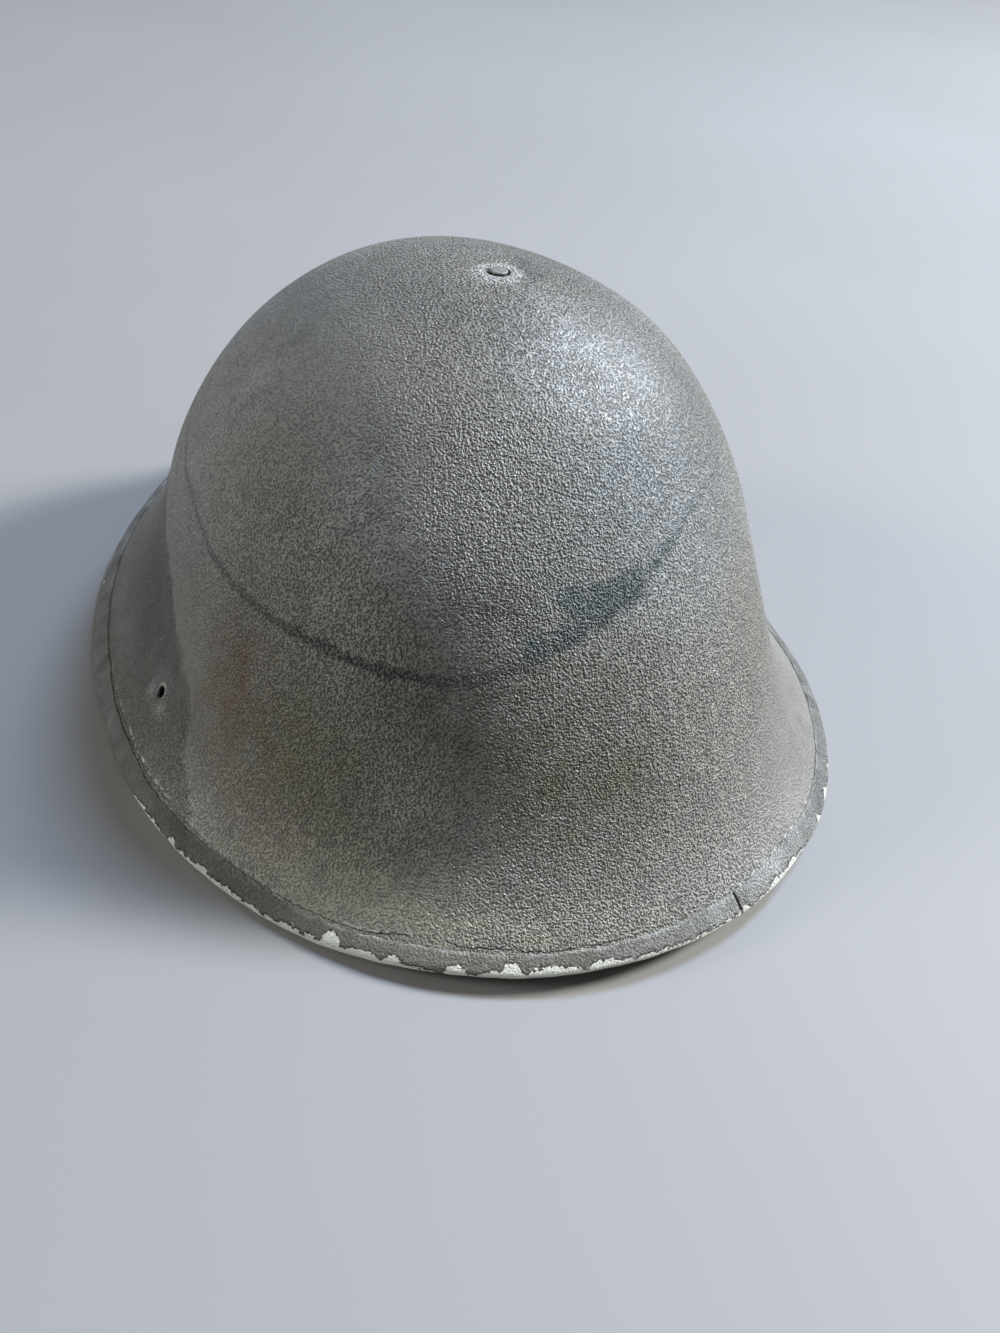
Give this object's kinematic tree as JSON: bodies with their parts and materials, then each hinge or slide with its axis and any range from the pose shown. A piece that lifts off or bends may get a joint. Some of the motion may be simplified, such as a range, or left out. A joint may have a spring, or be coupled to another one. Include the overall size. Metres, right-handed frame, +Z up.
{
  "type": "steel combat helmet",
  "caption": "Deep rounded steel combat helmet shell with a flared brim, a folded strip round its rim and a flat crown rivet; worn painted finish, open head cavity below.",
  "frame": {"origin": "under the middle of the helmet's bounding box, on the surface that its rim rests on", "axes": "+Z up through the crown, +Y towards the fuller brow end with the raised brim, -Y towards the sloping neck end that the picture shows nearest, X across the sides"},
  "size_m": [0.25, 0.304, 0.1455],
  "materials": {
    "shell_paint": "matt textured grey paint over pressed steel, stained and scratched",
    "band_paint": "dark grey paint over folded strip, chipped to a pale undercoat along its edge",
    "rivet_steel": "dull worn steel with paint left in its edge"
  },
  "bodies": {
    "root": {"helmet_shell": "shell_paint", "rim_band": "band_paint", "crown_rivet": "rivet_steel"}
  },
  "joints": []
}
